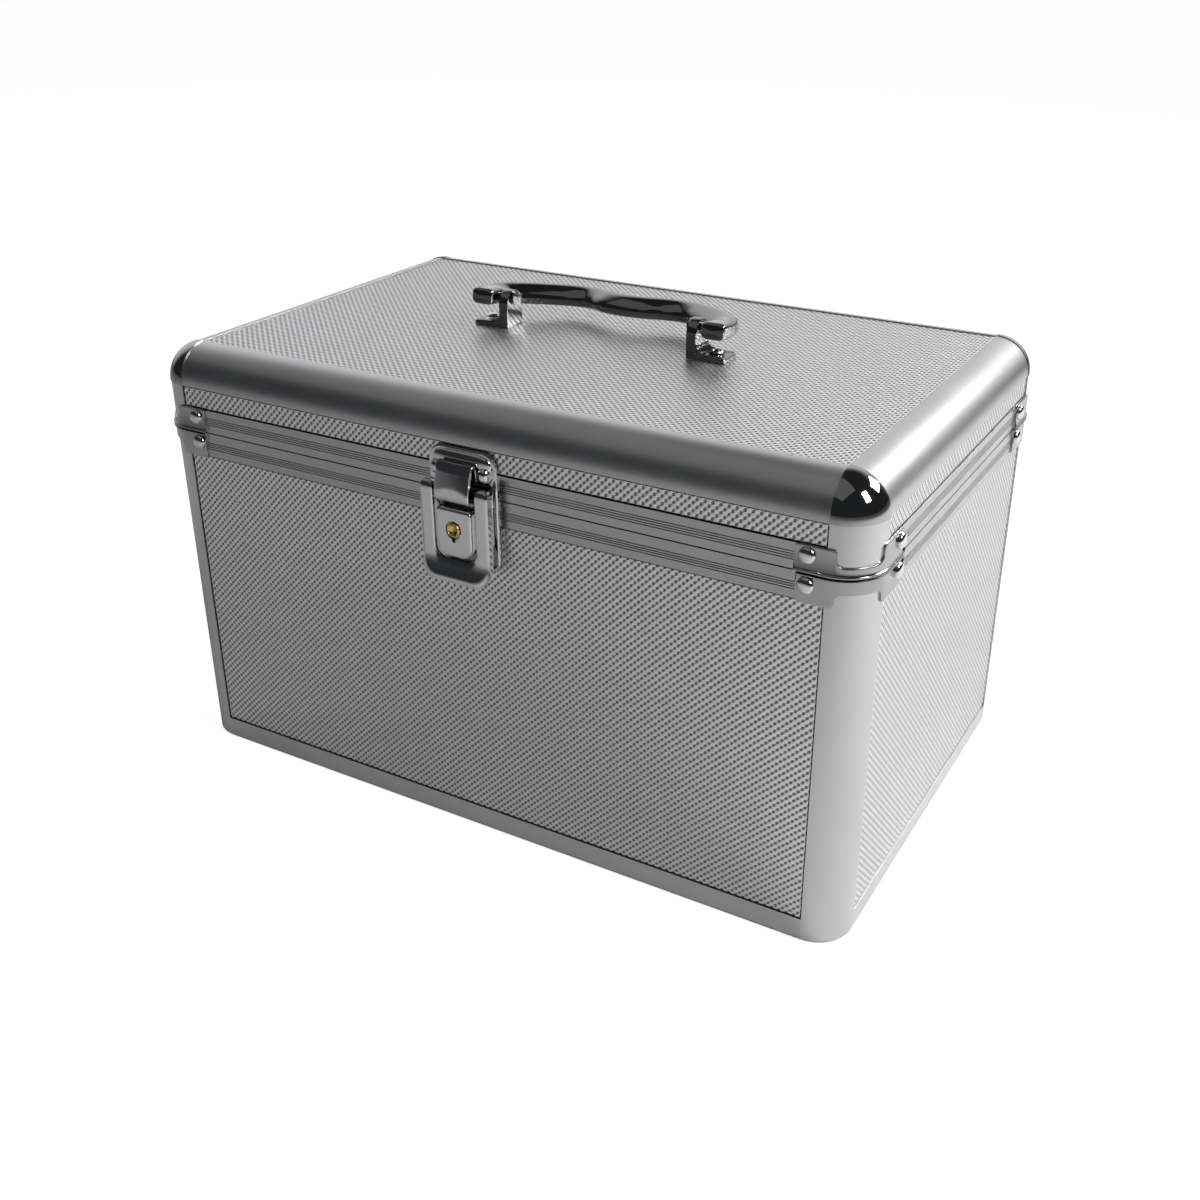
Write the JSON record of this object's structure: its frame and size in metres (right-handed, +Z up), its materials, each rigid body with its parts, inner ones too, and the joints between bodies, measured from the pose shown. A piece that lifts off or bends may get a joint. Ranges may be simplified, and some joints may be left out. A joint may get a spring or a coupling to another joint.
{
  "type": "sewing box with trays",
  "caption": "Hinged aluminium-framed sewing case with folding carry handle, draw latch with key lock, and cantilever trays that rise and swing out with the lid.",
  "frame": {"origin": "on the ground plane under the middle of the case (handle, latch and hinges not counted)", "axes": "+X to the right seen from the front, +Y towards the hinges at the back, +Z up"},
  "size_m": [0.3038, 0.2036, 0.1919],
  "materials": {
    "base_brackets": "bright nickel-chrome plating",
    "base_corner_caps": "satin anodised",
    "base_lining": "short black plush",
    "base_link_pins": "bright nickel-chrome plating",
    "base_panel_back": "embossed diamond pattern, satin",
    "base_panel_bottom": "plain board",
    "base_panel_front": "embossed diamond pattern, satin",
    "base_panel_left": "embossed diamond pattern, satin",
    "base_panel_right": "embossed diamond pattern, satin",
    "base_post_back_left": "satin anodised",
    "base_post_back_right": "satin anodised",
    "base_post_front_left": "satin anodised",
    "base_post_front_right": "satin anodised",
    "base_rim_back": "satin anodised",
    "base_rim_front": "satin anodised",
    "base_rim_left": "satin anodised",
    "base_rim_right": "satin anodised",
    "base_rivets": "bright nickel-chrome plating",
    "base_sills": "satin anodised",
    "claw_pin": "bright nickel-chrome plating",
    "front_links": "zinc plated",
    "handle": "bright nickel-chrome plating",
    "handle_bracket_left": "bright nickel-chrome plating",
    "handle_bracket_right": "bright nickel-chrome plating",
    "handle_pins": "bright nickel-chrome plating",
    "hinge_leaves_base": "bright nickel-chrome plating",
    "hinge_leaves_lid": "bright nickel-chrome plating",
    "hinge_pins": "bright nickel-chrome plating",
    "latch_catch": "bright nickel-chrome plating",
    "latch_claw": "bright nickel-chrome plating",
    "latch_lever": "bright nickel-chrome plating",
    "latch_plate": "bright nickel-chrome plating",
    "lever_pin": "bright nickel-chrome plating",
    "lid_ball_corners": "bright nickel-chrome plating",
    "lid_brackets": "bright nickel-chrome plating",
    "lid_edge_back": "satin anodised",
    "lid_edge_front": "satin anodised",
    "lid_edge_left": "satin anodised",
    "lid_edge_right": "satin anodised",
    "lid_lining": "short black plush",
    "lid_panel_top": "embossed diamond pattern, satin",
    "lid_posts": "satin anodised",
    "lid_rim_back": "satin anodised",
    "lid_rim_front": "satin anodised",
    "lid_rim_left": "satin anodised",
    "lid_rim_right": "satin anodised",
    "lid_rivets": "bright nickel-chrome plating",
    "lid_strips": "embossed diamond pattern, satin",
    "lid_strut_pins": "bright nickel-chrome plating",
    "lid_struts": "zinc plated",
    "lock_cylinder": "turned, slightly dull",
    "lock_housing": "bright nickel-chrome plating",
    "lower_tray": "fine grained moulding",
    "lower_tray_dividers": "fine grained moulding",
    "lower_tray_pins": "bright nickel-chrome plating",
    "rear_links": "zinc plated",
    "upper_tray": "fine grained moulding",
    "upper_tray_dividers": "fine grained moulding",
    "upper_tray_pins": "bright nickel-chrome plating"
  },
  "bodies": {
    "base": {"base_brackets": "base_brackets", "base_corner_caps": "base_corner_caps", "base_lining": "base_lining", "base_link_pins": "base_link_pins", "base_panel_back": "base_panel_back", "base_panel_bottom": "base_panel_bottom", "base_panel_front": "base_panel_front", "base_panel_left": "base_panel_left", "base_panel_right": "base_panel_right", "base_post_back_left": "base_post_back_left", "base_post_back_right": "base_post_back_right", "base_post_front_left": "base_post_front_left", "base_post_front_right": "base_post_front_right", "base_rim_back": "base_rim_back", "base_rim_front": "base_rim_front", "base_rim_left": "base_rim_left", "base_rim_right": "base_rim_right", "base_rivets": "base_rivets", "base_sills": "base_sills", "hinge_leaves_base": "hinge_leaves_base", "hinge_pins": "hinge_pins", "latch_plate": "latch_plate", "lever_pin": "lever_pin", "lock_housing": "lock_housing"},
    "lid": {"handle_bracket_left": "handle_bracket_left", "handle_bracket_right": "handle_bracket_right", "handle_pins": "handle_pins", "hinge_leaves_lid": "hinge_leaves_lid", "latch_catch": "latch_catch", "lid_ball_corners": "lid_ball_corners", "lid_brackets": "lid_brackets", "lid_edge_back": "lid_edge_back", "lid_edge_front": "lid_edge_front", "lid_edge_left": "lid_edge_left", "lid_edge_right": "lid_edge_right", "lid_lining": "lid_lining", "lid_panel_top": "lid_panel_top", "lid_posts": "lid_posts", "lid_rim_back": "lid_rim_back", "lid_rim_front": "lid_rim_front", "lid_rim_left": "lid_rim_left", "lid_rim_right": "lid_rim_right", "lid_rivets": "lid_rivets", "lid_strips": "lid_strips", "lid_strut_pins": "lid_strut_pins"},
    "latch_lever": {"latch_lever": "latch_lever", "claw_pin": "claw_pin"},
    "latch_claw": {"latch_claw": "latch_claw"},
    "lock_cylinder": {"lock_cylinder": "lock_cylinder"},
    "handle": {"handle": "handle"},
    "rear_links": {"rear_links": "rear_links"},
    "front_links": {"front_links": "front_links"},
    "lid_struts": {"lid_struts": "lid_struts"},
    "upper_tray": {"upper_tray": "upper_tray", "upper_tray_dividers": "upper_tray_dividers", "upper_tray_pins": "upper_tray_pins"},
    "lower_tray": {"lower_tray": "lower_tray", "lower_tray_dividers": "lower_tray_dividers", "lower_tray_pins": "lower_tray_pins"}
  },
  "joints": [
    {"name": "lid_hinge", "type": "hinge", "parent": "base", "child": "lid", "pos_m": [0, 0.0975, 0.1447], "axis": [-1, 0, 0], "range_deg": [0, 90]},
    {"name": "rear_link_pivot", "type": "hinge", "parent": "base", "child": "rear_links", "pos_m": [0, 0.064, 0.092], "axis": [-1, 0, 0], "range_deg": [0, 90]},
    {"name": "front_link_pivot", "type": "hinge", "parent": "base", "child": "front_links", "pos_m": [0, -0.002, 0.092], "axis": [-1, 0, 0], "range_deg": [0, 90]},
    {"name": "lower_tray_pivot", "type": "hinge", "parent": "rear_links", "child": "lower_tray", "pos_m": [0, 0.02527, 0.10201], "axis": [-1, 0, 0], "range_deg": [-90, 0]},
    {"name": "upper_tray_pivot", "type": "hinge", "parent": "rear_links", "child": "upper_tray", "pos_m": [0, -0.01345, 0.11203], "axis": [-1, 0, 0], "range_deg": [-90, 0]},
    {"name": "lid_strut_pivot", "type": "hinge", "parent": "lid", "child": "lid_struts", "pos_m": [0, 0.02005, 0.16473], "axis": [-1, 0, 0], "range_deg": [-90, 0]},
    {"name": "handle_pivot", "type": "hinge", "parent": "lid", "child": "handle", "pos_m": [0, -0.0005, 0.188], "axis": [1, 0, 0], "range_deg": [0, 180]},
    {"name": "latch_lever_pivot", "type": "hinge", "parent": "base", "child": "latch_lever", "pos_m": [-0.001, -0.0991, 0.1472], "axis": [-1, 0, 0], "range_deg": [0, 95]},
    {"name": "latch_claw_pivot", "type": "hinge", "parent": "latch_lever", "child": "latch_claw", "pos_m": [-0.001, -0.0994, 0.1436], "axis": [-1, 0, 0], "range_deg": [-95, 0]},
    {"name": "lock_cylinder_turn", "type": "hinge", "parent": "base", "child": "lock_cylinder", "pos_m": [-0.001, -0.1021, 0.1334], "axis": [0, -1, 0], "range_deg": [0, 90]}
  ],
  "couplings": [
    {"joint": "rear_link_pivot", "follows": "lid_hinge", "ratio": 1},
    {"joint": "front_link_pivot", "follows": "lid_hinge", "ratio": 1},
    {"joint": "lower_tray_pivot", "follows": "lid_hinge", "ratio": -1},
    {"joint": "upper_tray_pivot", "follows": "lid_hinge", "ratio": -1},
    {"joint": "lid_strut_pivot", "follows": "lid_hinge", "ratio": -1},
    {"joint": "latch_claw_pivot", "follows": "latch_lever_pivot", "ratio": -1}
  ]
}
